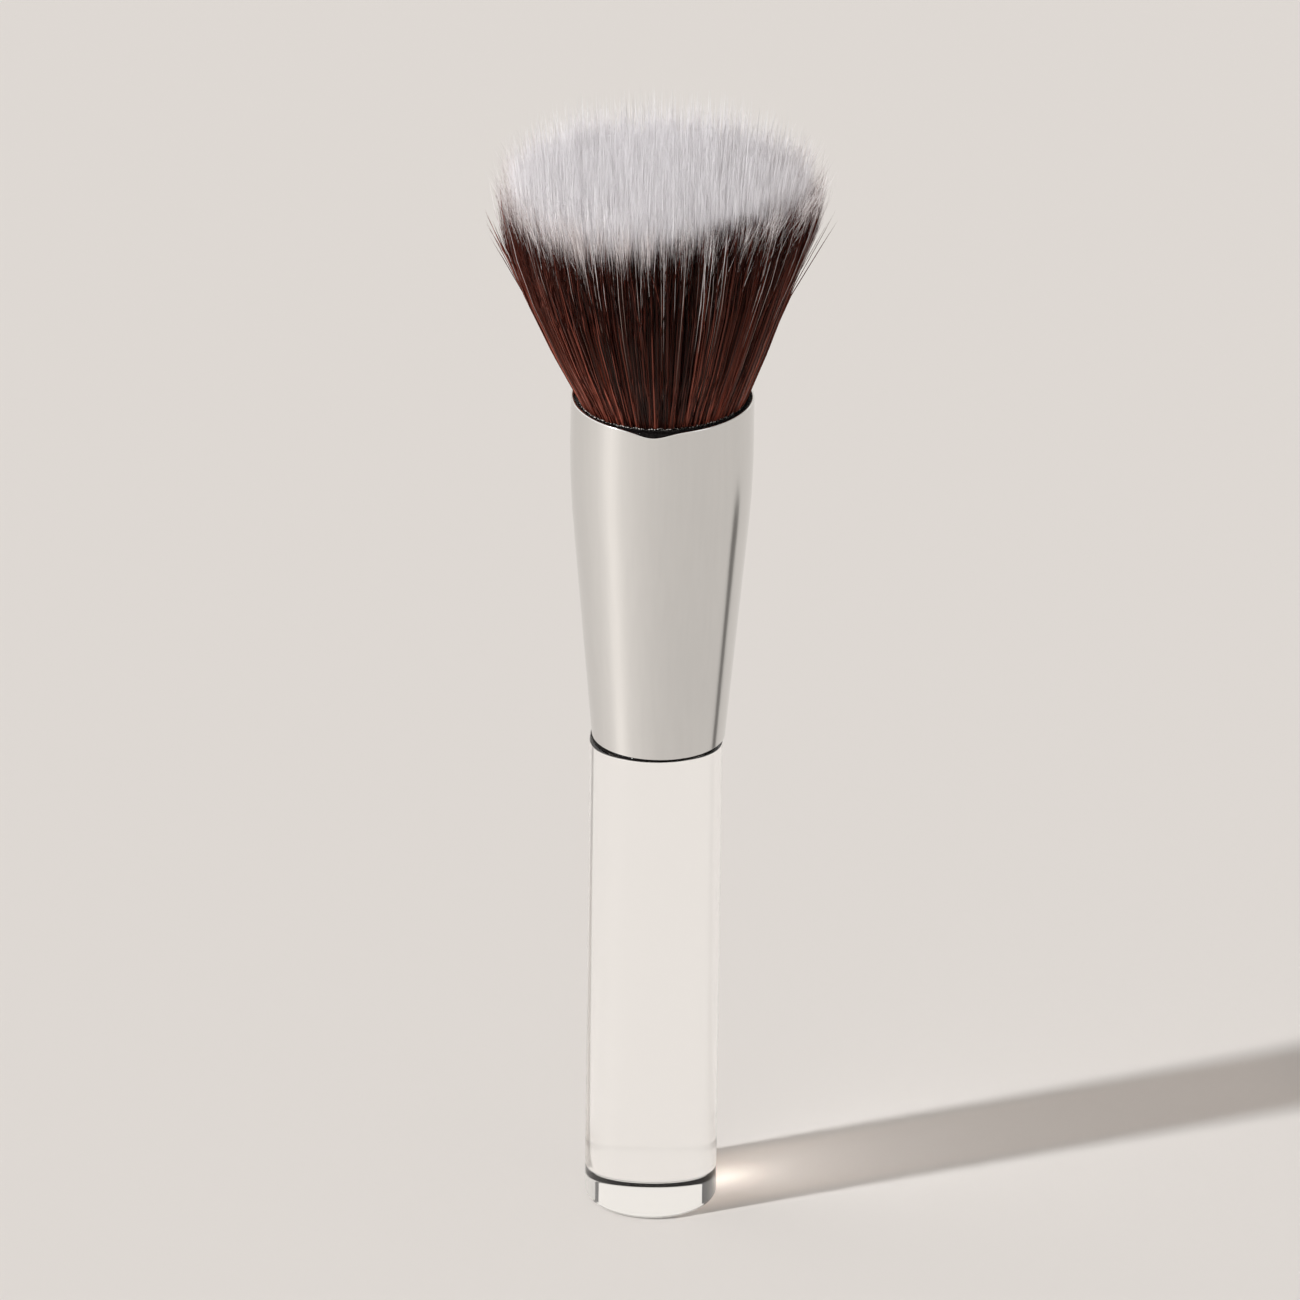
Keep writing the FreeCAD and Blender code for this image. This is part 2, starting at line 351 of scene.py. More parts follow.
def make_filament_group():
    """Colour of a filament from its own attributes: tone, a number drawn for it to which the brown and white
    filaments add painted light and shade by their side of the bundle, and along, root to tip.

    The colour goes from root to middle to tip. The tone makes it darker or paler by the spread, and moves
    the change of colour up or down by the shift.
    """
    group, given, out = new_group(
        "filament_colour",
        [("Root Colour", "NodeSocketColor", (1, 1, 1, 1)),
         ("Middle Colour", "NodeSocketColor", (1, 1, 1, 1)),
         ("Tip Colour", "NodeSocketColor", (1, 1, 1, 1)), ("Spread", "NodeSocketFloat", 0.3),
         ("Shift", "NodeSocketFloat", 0.0)],
        [("Colour", "NodeSocketColor")],
    )
    nodes, links = group.nodes, group.links
    tone = nodes.new("ShaderNodeAttribute")
    tone.attribute_name = "tone"
    length = nodes.new("ShaderNodeAttribute")
    length.attribute_name = "along"
    centred = math_node(nodes, links, "SUBTRACT", tone.outputs["Fac"], 0.5)
    moved = math_node(nodes, links, "MULTIPLY", centred, given.outputs["Shift"])
    moved = math_node(nodes, links, "ADD", length.outputs["Fac"], moved)
    doubled = math_node(nodes, links, "MULTIPLY", moved, 2.0)
    lower = math_node(nodes, links, "MINIMUM", doubled, 1.0, clamp=True)
    upper = math_node(nodes, links, "SUBTRACT", doubled, 1.0, clamp=True)
    base = mix_colour(nodes, links, lower, given.outputs["Root Colour"], given.outputs["Middle Colour"])
    base = mix_colour(nodes, links, upper, base, given.outputs["Tip Colour"])
    change = math_node(nodes, links, "MULTIPLY", centred, given.outputs["Spread"])
    factor = math_node(nodes, links, "ADD", change, 1.0)
    links.new(scale_colour(nodes, links, base, factor), out.inputs["Colour"])
    return group


fine_marks = make_grain_group()
filament_colour = make_filament_group()


def make_acrylic():
    """Clear acrylic: polished, with faint wiping marks."""
    material, nodes, links, shader = new_material("clear_acrylic_finish")
    shader.inputs["Base Color"].default_value = (0.985, 0.985, 0.98, 1)
    shader.inputs["Transmission Weight"].default_value = 1.0
    shader.inputs["IOR"].default_value = 1.49
    marks = place(nodes, fine_marks, Stretch=(1.0, 1.0, 0.12), Scale=900.0, Detail=4.0, Low=0.55, High=0.8)
    rough = math_node(nodes, links, "MULTIPLY", marks.outputs["Marks"], 0.03)
    links.new(rough, shader.inputs["Roughness"])
    return material


def make_aluminium():
    """Drawn aluminium: polished round and round, so that highlights run up and down, with faint scuffs."""
    material, nodes, links, shader = new_material("drawn_aluminium_finish")
    shader.inputs["Metallic"].default_value = 1.0
    shader.inputs["Anisotropic"].default_value = 0.5
    shader.inputs["Anisotropic Rotation"].default_value = 0.25
    tangent = nodes.new("ShaderNodeTangent")
    tangent.direction_type = "RADIAL"
    tangent.axis = "Z"
    links.new(tangent.outputs[0], shader.inputs["Tangent"])
    lines = place(nodes, fine_marks, Stretch=(1.0, 1.0, 0.05), Scale=1500.0, Detail=3.0, Low=0.3, High=0.7)
    blots = place(nodes, fine_marks, Stretch=(1.0, 1.0, 0.35), Scale=110.0, Detail=5.0, Low=0.5, High=0.8)
    colour = mix_colour(
        nodes, links, lines.outputs["Marks"], (0.705, 0.702, 0.69, 1), (0.725, 0.722, 0.71, 1)
    )
    dulled = math_node(nodes, links, "MULTIPLY", blots.outputs["Marks"], 0.5)
    colour = mix_colour(nodes, links, dulled, colour, (0.67, 0.668, 0.66, 1))
    links.new(colour, shader.inputs["Base Color"])
    rough = math_node(nodes, links, "MULTIPLY", blots.outputs["Marks"], 0.05)
    rough = math_node(nodes, links, "ADD", rough, 0.13)
    links.new(rough, shader.inputs["Roughness"])
    return material


def make_epoxy():
    """Black epoxy: glossy, with a lumpy skin, and painted glints as pale specks in its colour where the
    attribute crest is high.
    """
    material, nodes, links, shader = new_material("black_epoxy_finish")
    lumps = place(nodes, fine_marks, Stretch=(1.0, 1.0, 1.0), Scale=2500.0, Detail=2.0, Low=0.4, High=0.7)
    colour = mix_colour(
        nodes, links, lumps.outputs["Marks"], (0.004, 0.0035, 0.0035, 1), (0.012, 0.01, 0.01, 1)
    )
    specks = place(nodes, fine_marks, Stretch=(1.0, 1.0, 1.0), Scale=6000.0, Detail=1.0, Low=0.55, High=0.6)
    crest = nodes.new("ShaderNodeAttribute")
    crest.attribute_name = "crest"
    # Painted glints: pale specks in the base colour along the crest of the skin.
    painted_glint_mask = math_node(nodes, links, "MULTIPLY", specks.outputs["Marks"], crest.outputs["Fac"])
    colour = mix_colour(nodes, links, painted_glint_mask, colour, (0.85, 0.8, 0.76, 1))
    links.new(colour, shader.inputs["Base Color"])
    rough = math_node(nodes, links, "MULTIPLY", lumps.outputs["Marks"], 0.1)
    rough = math_node(nodes, links, "ADD", rough, 0.05)
    links.new(rough, shader.inputs["Roughness"])
    shader.inputs["Specular IOR Level"].default_value = 0.04
    bump = nodes.new("ShaderNodeBump")
    bump.inputs["Strength"].default_value = 0.9
    bump.inputs["Distance"].default_value = 0.15 * mm
    links.new(lumps.outputs["Height"], bump.inputs["Height"])
    links.new(bump.outputs[0], shader.inputs["Normal"])
    return material


def make_filament(name, root, middle, tip, spread, shift, rough, gloss, shine, glow, glow_share):
    """Synthetic filament: the colour given, painted light and shade included, with a soft gloss, mixed with
    light that shines through it.
    """
    material, nodes, links, shader = new_material(name)
    colour = place(
        nodes, filament_colour,
        Root_Colour=root, Middle_Colour=middle, Tip_Colour=tip, Spread=spread, Shift=shift,
    )
    links.new(colour.outputs["Colour"], shader.inputs["Base Color"])
    shader.inputs["Roughness"].default_value = rough
    shader.inputs["Specular IOR Level"].default_value = gloss
    shader.inputs["Specular Tint"].default_value = shine
    through = nodes.new("ShaderNodeBsdfTranslucent")
    through.inputs["Color"].default_value = glow
    mixed = nodes.new("ShaderNodeMixShader")
    mixed.inputs[0].default_value = glow_share
    links.new(shader.outputs[0], mixed.inputs[1])
    links.new(through.outputs[0], mixed.inputs[2])
    links.new(mixed.outputs[0], nodes["Material Output"].inputs["Surface"])
    return material


def finish_piece(obj, material, slot, *nodes_replaced):
    """A piece's material, the body that it rides on and the nodes that it stands for; the slot argument is not
    used.
    """
    obj.data.materials.append(material)
    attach(obj, "root")
    if nodes_replaced:
        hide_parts(*nodes_replaced)


def make_handle(material):
    """The rod: flat base, rounded lower edge, straight side, small rounded shoulder and a tenon."""
    flat = handle_radius - base_edge_radius
    upper = shoulder_z - shoulder_edge_radius
    tight = 0.02 * mm
    profile = np.vstack([
        [[0, 0]],
        along((0, 0), (flat - tight, 0), 3),
        [[flat - tight, 0]],
        arc((flat, base_edge_radius), base_edge_radius, -90, 0, 33),
        [[handle_radius, base_edge_radius + tight]],
        along((handle_radius, base_edge_radius + tight), (handle_radius, upper - tight), 10),
        [[handle_radius, upper - tight]],
        arc((handle_radius - shoulder_edge_radius, upper), shoulder_edge_radius, 0, 90, 11),
        [[tenon_radius, shoulder_z], [tenon_radius, tenon_top - tenon_chamfer],
         [tenon_radius - tenon_chamfer, tenon_top], [0, tenon_top]],
    ])
    rod = lathe("handle_rod", profile, rod_segments, handle_x)
    crease(rod, 35)
    finish_piece(rod, material, "clear_acrylic", "handle")


def ferrule_side(inset, steps):
    """The ferrule's side from its foot up: a cone's line, then an arc that turns it upright."""
    corner_z = mouth_z - corner_depth
    lean = math.atan2(mouth_radius - foot_radius, corner_z - foot_z)
    bend_radius = bend_reach / math.tan(lean / 2)
    centre = (mouth_radius - bend_radius, corner_z + bend_reach)
    bend = arc(centre, bend_radius - inset, -math.degrees(lean), 0, steps)
    foot = np.array([[foot_radius - inset / math.cos(lean), foot_z]])
    return np.vstack([foot, along(foot[0], bend[0], steps), bend])


def rim_drop(angles):
    """How far the rim lies below its highest level: one dip, as a bell curve of angle, and small waves."""
    degrees = np.degrees(angles)
    away = (degrees - rim_dip_angle + 180) % 360 - 180
    wave = 1 - np.cos(np.radians(rim_wave_count * (degrees - rim_wave_start)))
    return rim_dip_depth * np.exp(-((away / rim_dip_width) ** 2)) + rim_wave_height * wave / 2


def make_ferrule(material):
    """The tube: outer face up, over a rim with rounded edges, and down the inner face."""
    outer = ferrule_side(0, 12)
    inner = ferrule_side(wall, 8)[::-1]
    top_out = (mouth_radius - rim_round, mouth_z - rim_round)
    top_in = (bore_radius + rim_round, mouth_z - rim_round)
    tight = 0.04 * mm
    straight_top = (mouth_radius, mouth_z - rim_round - tight)
    straight_out = np.vstack([along(outer[-1], straight_top, 8), [straight_top]])
    straight_in = along((bore_radius, mouth_z - rim_round), inner[0], 6)
    rim = np.vstack([arc(top_out, rim_round, 0, 90, 5), arc(top_in, rim_round, 90, 180, 5)])
    up = (outer[1] - outer[0]) / (outer[1][1] - outer[0][1])
    foot_out = np.vstack([outer[0] - [0.06 * mm, 0.0], outer[0] + up * 0.06 * mm, outer[0] + up * 0.1 * mm])
    profile = np.vstack([foot_out, outer[1:], straight_out, rim, straight_in, inner])
    weight = np.clip((profile[:, 1] - outer[-1][1]) / (mouth_z - rim_round - outer[-1][1]), 0, 1)
    profile = np.column_stack([profile, weight])
    tube = lathe("ferrule_tube", profile, tube_segments, 0.0, rim_drop, closed=True)
    crease(tube, 50)
    finish_piece(tube, material, "drawn_aluminium", "ferrule")


def make_handle_glue(material):
    """A round-edged bead on the shoulder and the sleeve above it, bonded a hair's breadth into the rod."""
    height = foot_z - shoulder_z
    outside = handle_radius - bead_inset
    low = shoulder_z - bond_depth
    sleeve = ferrule_side(wall, 8)
    inner_radius = tenon_radius - bond_depth
    sleeve_top = np.interp(tenon_top, sleeve[:, 1], sleeve[:, 0])
    edge = arc((outside - height / 2, shoulder_z + height / 2), height / 2, -90, 90, 13)
    profile = np.vstack([
        [[inner_radius, low], [outside - height / 2, low]],
        edge,
        [[sleeve[0][0] - 0.1 * mm, foot_z], [sleeve_top - 0.35 * mm, tenon_top], [inner_radius, tenon_top]],
    ])
    bead = lathe("shoulder_glue", profile, bead_segments, handle_x, closed=True)
    crease(bead, 40)
    finish_piece(bead, material, "dark_adhesive", "handle_glue")


def make_root_glue(material):
    """The plug in the mouth. Its skin rises from the wall of the tube and creeps up the fibres, in lumps.

    The lumps are sums of sines of the angle, with a cosine that makes one side creep higher.
    """
    levels = np.linspace(-glue_below_rim, glue_creep, 9)
    climb = (levels - levels[0]) / (levels[-1] - levels[0])
    gap = bore_radius - flare(levels[0]) - glue_skin
    skin = np.column_stack([flare(levels) + glue_skin + gap * (1 - climb) ** 3, mouth_z + levels])
    crest = skin[-1]
    profile = np.vstack([
        [[0, glue_floor]],
        [[bore_radius, glue_floor]],
        skin,
        [crest + [-0.1 * mm, 0.06 * mm], crest - [0.45 * mm, 0.2 * mm]],
        [[root_radius * 0.8, glue_top - 0.3 * mm], [0, glue_top - 0.3 * mm]],
    ])
    plug = lathe("root_glue_plug", profile, plug_segments)
    count = len(plug.data.vertices)
    points = np.empty(count * 3, np.float32)
    plug.data.vertices.foreach_get("co", points)
    points = points.reshape(-1, 3)
    angle = np.arctan2(points[:, 1], points[:, 0])
    high = np.clip((points[:, 2] - (mouth_z - glue_below_rim)) / (glue_creep + glue_below_rim), 0, 1)
    lumps = np.sin(angle * 23 + 1) + np.sin(angle * 41 + 4) + np.sin(angle * 67 + 2)
    points[:, 2] += high ** 2 * (lumps * glue_lump + np.cos(angle) * glue_tilt) * mm
    plug.data.vertices.foreach_set("co", points.ravel())
    plug.data.update()
    crest_mask = plug.data.attributes.new("crest", "FLOAT", "POINT")
    crest_mask.data.foreach_set("value", np.ascontiguousarray(high ** 5, np.float32))
    finish_piece(plug, material, "dark_adhesive", "root_glue")


def flare(height):
    """The bundle's outer radius at a height above the mouth: a quarter of a sine wave, glue to tips."""
    low = glue_top - mouth_z
    share = np.clip((height - low) / (white_height - low), -0.1, 1.2)
    return root_radius + (head_radius - root_radius) * np.sin(np.pi / 2 * np.minimum(share, 1))


def set_filament_values(obj, tones_and_painted_light, places):
    """The two numbers of each point that the filament colours read."""
    for label, values in (("tone", tones_and_painted_light), ("along", places)):
        attribute = obj.data.attributes.new(label, "FLOAT", "POINT")
        attribute.data.foreach_set("value", np.asarray(values, np.float32))


def tubes(name, lines, widths, tones_and_painted_light, places):
    """Three-sided tubes along many lines at once, each closed by a root face and a pointed tip.

    Ring k of a tube is its line's point k plus the width times the cosine and sine of three angles along
    two vectors square to the line. Each tube starts these angles at its own one, a large step on from the
    tube before. The last point of each line is the tip. Places are the stations' shares of the way from
    root to tip.
    """
    count, steps, _ = lines.shape
    rings = steps - 1
    direction = unit(np.gradient(lines, axis=1))
    side = unit(np.cross(direction, np.array([0.31, 0.83, 0.46])))
    other = np.cross(direction, side)
    turn = np.arange(count)[:, None] * turn_between_tubes + np.array([0, 2, 4]) * np.pi / 3
    turn = turn[:, None, :, None]
    spokes = side[:, :rings, None] * np.cos(turn) + other[:, :rings, None] * np.sin(turn)
    skin = lines[:, :rings, None] + spokes * widths[:, :rings, None, None] / 2
    points = np.concatenate([skin.reshape(count, rings * 3, 3), lines[:, -1:]], axis=1)
    size = rings * 3 + 1
    k = np.arange(rings - 1)[:, None] * 3
    i = np.arange(3)[None, :]
    j = (i + 1) % 3
    quads = np.stack([k + i, k + j, k + 3 + j, k + 3 + i], -1).reshape(-1, 4)
    top = (rings - 1) * 3
    ends = np.vstack([[[0, 2, 1]], np.stack([top + i[0], top + j[0], np.full(3, size - 1)], -1)])
    offset = np.arange(count)[:, None, None] * size
    quads, ends = (quads + offset).reshape(-1, 4), (ends + offset).reshape(-1, 3)
    obj = make_mesh(name, points.reshape(-1, 3), quads, ends, smooth=False)
    places_of_one = np.append(np.repeat(places[:-1], 3), places[-1])
    set_filament_values(obj, np.repeat(tones_and_painted_light, size), np.tile(places_of_one, count))
    return obj


def bundle_lines(reach, angle, start, tip, stations, splay, wander, drift=0.0, bow=0.0):
    """Lines from a start height to the tips, in heights above the mouth.

    A line keeps its share of the flare's radius and its angle. Splay moves it outwards and wander sideways,
    both by the cube of the way up from the glue, and drift adds to its share by the sixth power. Bow moves
    its middle sideways, by four times the way up times the way left. The +X side of the bundle leans in.
    """
    height = start + (tip - start)[:, None] * stations[None, :]
    share = (height - root_start) / (tip - root_start)[:, None]
    cube = share ** 3
    lean = head_lean * np.clip(height / lean_full_height, 0, 1)
    lean = lean * (1 - np.clip((height - lean_fade_start) / lean_fade_length, 0, 1))
    lean = lean * np.maximum(np.cos(angle), 0)[:, None]
    reach_there = reach[:, None] + np.asarray(drift)[..., None] * share ** 6
    radius = reach_there * (flare(height) - lean) + splay[:, None] * cube
    sideways = wander[:, None] * cube + np.asarray(bow)[..., None] * 4 * share * (1 - share)
    turned = angle[:, None] + sideways / np.maximum(radius, 2 * mm)
    return np.stack([radius * np.cos(turned), radius * np.sin(turned), mouth_z + height], axis=-1)


def draw_to_locks(rng, reach, angle, lock_count, pull):
    """How far each filament moves to the nearest of many lock centres, and which one that is.

    The way is the pull times the distance, in shares of the head's radius along X and Y.
    """
    x, y = reach * np.cos(angle), reach * np.sin(angle)
    lock_reach = np.sqrt(rng.uniform(reach.min() ** 2, 1.02, lock_count))
    lock_angle = rng.uniform(0, 2 * np.pi, lock_count)
    lock_x, lock_y = lock_reach * np.cos(lock_angle), lock_reach * np.sin(lock_angle)
    nearest = np.argmin((x[:, None] - lock_x) ** 2 + (y[:, None] - lock_y) ** 2, axis=1)
    return (lock_x[nearest] - x) * pull, (lock_y[nearest] - y) * pull, nearest


def crest_share(angle):
    """A bell curve of the angle, 1 where the brown tips reach highest."""
    away = (np.degrees(angle) - tip_crest_angle + 180) % 360 - 180
    return np.exp(-((away / tip_crest_width) ** 2))


def pull_lines(lines, pull_x, pull_y, stations):
    """Moves the lines towards their locks, by the square of the way from root to tip."""
    lines[..., 0] += pull_x[:, None] * stations ** 2 * head_radius
    lines[..., 1] += pull_y[:, None] * stations ** 2 * head_radius


def make_dark_filaments(material):
    """The brown filaments: a dense wall round the bundle in locks that end at uneven heights.

    They are drawn evenly over a ring of shares of the flare's radius. A tip's height is the bundle's, plus
    the crest's bell curve, its tuft's own step, an exponential extra for a few and a normal spread.
    """
    rng = np.random.default_rng(11)
    reach = np.sqrt(rng.uniform(dark_inner_reach ** 2, 1.0, dark_count))
    angle = rng.uniform(0, 2 * np.pi, dark_count)
    pull_x, pull_y, lock = draw_to_locks(rng, reach, angle, dark_locks, dark_pull)
    lock_tone = rng.standard_normal(dark_locks)[lock]
    tuft_edges = np.sort(rng.uniform(0, 2 * np.pi, dark_tufts))
    tuft_tip = np.clip(rng.normal(0, tuft_spread, dark_tufts + 1), tuft_lowest, tuft_highest)
    tuft_tip = tuft_tip[np.searchsorted(tuft_edges, angle)]
    rise = tip_crest * crest_share(angle)
    is_long = rng.random(dark_count) < long_dark_share
    longer = is_long * np.minimum(rng.exponential(long_dark_mean, dark_count), long_dark_most)
    tip = dark_height - dark_tip_below + rise + tuft_tip + longer + rng.normal(0, dark_tip_spread, dark_count)
    tip = np.minimum(tip, white_height - dark_tip_cap)
    stray = rng.random(dark_count) < stray_dark_share
    splay = rng.normal(0, 0.3 * mm, dark_count) + stray * rng.uniform(0.5 * mm, 3.8 * mm, dark_count)
    wander = rng.normal(0, 0.35 * mm, dark_count) + stray * rng.normal(0, 1.5 * mm, dark_count)
    bow = rng.normal(0, 0.6 * mm, dark_count)
    stations = np.array([0, 0.3, 0.6, 0.86, 1.0])
    lines = bundle_lines(reach, angle, root_start, tip, stations, splay, wander, bow=bow)
    pull_lines(lines, pull_x, pull_y, stations)
    widths = dark_width * np.array([1.2, 1.1, 0.9, 0.6, 0.0]) * rng.uniform(0.7, 1.3, (dark_count, 1))
    widths = widths * (1 + 0.3 * stray[:, None])
    tones_and_painted_light = 0.12 + rng.exponential(0.45, dark_count) + 0.05 * lock_tone
    # Painted sheen and light: the tone is higher on the +X and -X sides, where the bundle's outline is seen
    # from the front, lower at the front and back, and a little higher on the -X side, towards the lamp, than
    # on the +X side.
    tones_and_painted_light = np.clip(tones_and_painted_light + 0.2 * np.cos(2 * angle) - 0.06 * np.cos(angle), 0.15, 2.2)
    for k, part in enumerate(np.array_split(np.arange(dark_count), pieces_of_each)):
        obj = tubes(f"brown_filaments_{k + 1}", lines[part], widths[part], tones_and_painted_light[part], stations)
        finish_piece(obj, material, "brown_fibre", "dark_fibres")


def make_white_filaments(material):
    """The white filaments: they fill the head up to a flat top whose tips differ a little.

    They are drawn evenly over a disc. A tip's height is the head's, plus an exponential extra and its
    lock's own step. The splay grows with the square of the reach, and the crest holds it back.
    """
    rng = np.random.default_rng(23)
    reach = np.sqrt(rng.uniform(0.0, white_outer_reach ** 2, white_count))
    angle = rng.uniform(0, 2 * np.pi, white_count)
    outer = reach ** 8
    pull_x, pull_y, lock = draw_to_locks(rng, reach, angle, white_locks, 0.12 + 0.25 * outer)
    longer = np.minimum(rng.exponential(long_white_mean, white_count), long_white_most)
    lock_tip = rng.normal(0, 1.0, white_locks)[lock] * (0.25 + 0.5 * outer) * mm
    tip = white_height - white_tip_below + longer + lock_tip
    stray = rng.random(white_count) < stray_white_share
    splay = head_radius * white_splay * reach ** 2 + rng.normal(0, 0.3 * mm, white_count)
    loose = np.abs(rng.normal(0, 1.2 * mm, white_count)) + stray * rng.uniform(0, 4.0 * mm, white_count)
    splay = (splay + outer * loose) * (1 - crest_hold * crest_share(angle))
    wander = rng.normal(0, 0.4 * mm, white_count)
    stations = np.array([0, 0.65, 1.0])
    lines = bundle_lines(reach, angle, white_start, tip, stations, splay, wander)
    pull_lines(lines, pull_x, pull_y, stations)
    widths = white_width * np.array([1.0, 0.85, 0.0]) * rng.uniform(0.8, 1.25, (white_count, 1))
    tones_and_painted_light = 0.3 + 0.2 * rng.random(white_count) + 0.2 * rng.random(white_locks)[lock]
    # Painted shade: the tone falls towards the +X side, away from the lamp, and more so towards the outside of
    # the head.
    tones_and_painted_light = tones_and_painted_light - 0.03 * np.cos(angle) * reach - 0.25 * np.maximum(np.cos(angle), 0) * reach
    places = 0.55 + stations * 0.6
    for k, part in enumerate(np.array_split(np.arange(white_count), pieces_of_each)):
        obj = tubes(f"white_filaments_{k + 1}", lines[part], widths[part], tones_and_painted_light[part], places)
        finish_piece(obj, material, "white_fibre", "white_fibres")


def make_streak_filaments(material):
    """The white filaments of the outer wall: they come out between the brown ones in locks that widen.

    A lock is a set of filaments round one angle. Their tips lie below a top level by the size of a normal
    number. The bold ones lie at the very outside, each at an angle of its own.
    """
    rng = np.random.default_rng(37)
    reach = rng.uniform(0.8, 0.93, streak_count)
    bold = rng.random(streak_count) < bold_share
    reach = np.where(bold, rng.uniform(0.95, 1.0, streak_count), reach)
    drift = np.where(bold, 0.0, rng.uniform(0.88, 1.02, streak_count) - reach)
    lock = rng.integers(0, streak_locks, streak_count)
    angle = rng.uniform(0, 2 * np.pi, streak_locks)[lock]
    angle = angle + rng.normal(0, streak_lock_width, streak_count)
    angle = np.where(bold, rng.uniform(0, 2 * np.pi, streak_count), angle)
    tip = white_height + streak_tip_above - np.abs(rng.normal(0, streak_tip_spread, streak_count))
    splay = head_radius * streak_splay + rng.normal(0, 0.4 * mm, streak_count)
    wander = rng.normal(0, 0.5 * mm, streak_count)
    stations = np.array([0, 0.25, 0.5, 0.7, 0.88, 1.0])
    lines = bundle_lines(reach, angle, root_start, tip, stations, splay, wander, drift)
    widths = streak_width * np.array([0.5, 0.6, 0.8, 1.0, 0.7, 0.0]) * rng.uniform(0.8, 1.2, (streak_count, 1))
    obj = tubes("white_streaks", lines, widths, rng.random(streak_count), stations)
    finish_piece(obj, material, "white_fibre", "white_fibres")


def make_core(name, low, high, steps, reach, cap, tone, place_along):
    """A round core between two levels above the mouth, whose radius is a share of the flare's.

    The cap closes its top: the share of the radius there, and the rises of its edge and its middle.
    """
    levels = np.linspace(low, high, steps)
    side = np.column_stack([reach * flare(levels), mouth_z + levels])
    cap_share, edge_rise, middle_rise = cap
    profile = np.vstack([
        [[0, mouth_z + low]],
        side,
        [[side[-1][0] * cap_share, mouth_z + high + edge_rise], [0, mouth_z + high + middle_rise]],
    ])
    core = lathe(name, profile, core_segments)
    count = len(core.data.vertices)
    set_filament_values(core, np.full(count, tone), np.full(count, place_along))
    return core


def make_cores(brown_material, white_material):
    """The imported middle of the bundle, which the loose filaments hide: brown below and white on top."""
    low, high = root_start, dark_height - 5 * mm
    # Painted shade: a tone of 0.1 makes the brown core near black, darker than any filament, for the shade
    # inside the bundle.
    core = make_core("brown_core", low, high, 24, 0.86, (0.8, 0.6 * mm, 0), 0.1, 0.5)
    finish_piece(core, brown_material, "brown_fibre", "dark_fibres")
    low, high = dark_height - 6 * mm, white_height - 5.6 * mm
    # Painted shade: at 0.8 along, the white core takes the white filaments' greyer colour below their tips.
    core = make_core("white_core", low, high, 6, 0.82, (0.9, 1 * mm, 1.2 * mm), 0.5, 0.8)
    finish_piece(core, white_material, "white_fibre", "white_fibres")


def make_wall(name, start, end, strength):
    """A pale wall of the room, far behind the brush, which only light through the handle and reflections show.

    It is a strip of a cylinder between two directions.
    """
    columns = 24
    distance = 3
    angles = np.radians(np.linspace(start, end, columns))
    x, y = distance * np.sin(angles), distance * np.cos(angles)
    points = np.concatenate([np.stack([x, y, np.full(columns, z)], -1) for z in (0.2, 4.0)])
    k = np.arange(columns - 1)
    quads = np.stack([k, k + 1, k + columns + 1, k + columns], -1)
    strip = make_mesh(name, points, quads)
    material = bpy.data.materials.new(name)
    material.use_nodes = True
    nodes = material.node_tree.nodes
    glow = nodes.new("ShaderNodeEmission")
    glow.inputs["Color"].default_value = (1.0, 0.955, 0.90, 1)
    glow.inputs["Strength"].default_value = strength
    material.node_tree.links.new(glow.outputs[0], nodes["Material Output"].inputs["Surface"])
    strip.data.materials.append(material)
    strip.visible_camera = False
    strip.visible_diffuse = False
    strip.visible_shadow = False


def bell(nodes, links, value, centre, width, height):
    """Height times e to the minus square of the distance from the centre over the width."""
    share = math_node(nodes, links, "DIVIDE", math_node(nodes, links, "SUBTRACT", value, centre), width)
    power = math_node(nodes, links, "MULTIPLY", math_node(nodes, links, "MULTIPLY", share, share), -1.0)
    return math_node(nodes, links, "MULTIPLY", math_node(nodes, links, "EXPONENT", power), height)


def fade(nodes, links, value, full, gone):
    """Falls smoothly from 1 at one place to 0 at the other."""
    node = nodes.new("ShaderNodeMapRange")
    node.interpolation_type = "SMOOTHSTEP"
    node.inputs["From Min"].default_value = gone
    node.inputs["From Max"].default_value = full
    links.new(value, node.inputs["Value"])
    return node.outputs[0]


def make_shadow_place_group():
    """Floor places in millimetres from the handle's axis: along its shadow, beside it and all round."""
    group, _, out = new_group(
        "shadow_place", [],
        [("Along", "NodeSocketFloat"), ("Beside", "NodeSocketFloat"), ("Angle", "NodeSocketFloat")],
    )
    nodes, links = group.nodes, group.links
    position = nodes.new("ShaderNodeTexCoord")
    turn = nodes.new("ShaderNodeVectorRotate")
    turn.rotation_type = "Z_AXIS"
    turn.inputs["Center"].default_value = (handle_x, 0, 0)
    turn.inputs["Angle"].default_value = -math.radians(lamp_azimuth)
    split = nodes.new("ShaderNodeSeparateXYZ")
    links.new(position.outputs["Object"], turn.inputs["Vector"])
    links.new(turn.outputs[0], split.inputs[0])
    from_axis = math_node(nodes, links, "SUBTRACT", split.outputs["X"], handle_x)
    along_shadow = math_node(nodes, links, "DIVIDE", from_axis, mm)
    beside = math_node(nodes, links, "DIVIDE", split.outputs["Y"], mm)
    angle = math_node(nodes, links, "DEGREES", math_node(nodes, links, "ARCTAN2", beside, along_shadow))
    links.new(along_shadow, out.inputs["Along"])
    links.new(beside, out.inputs["Beside"])
    links.new(angle, out.inputs["Angle"])
    return group


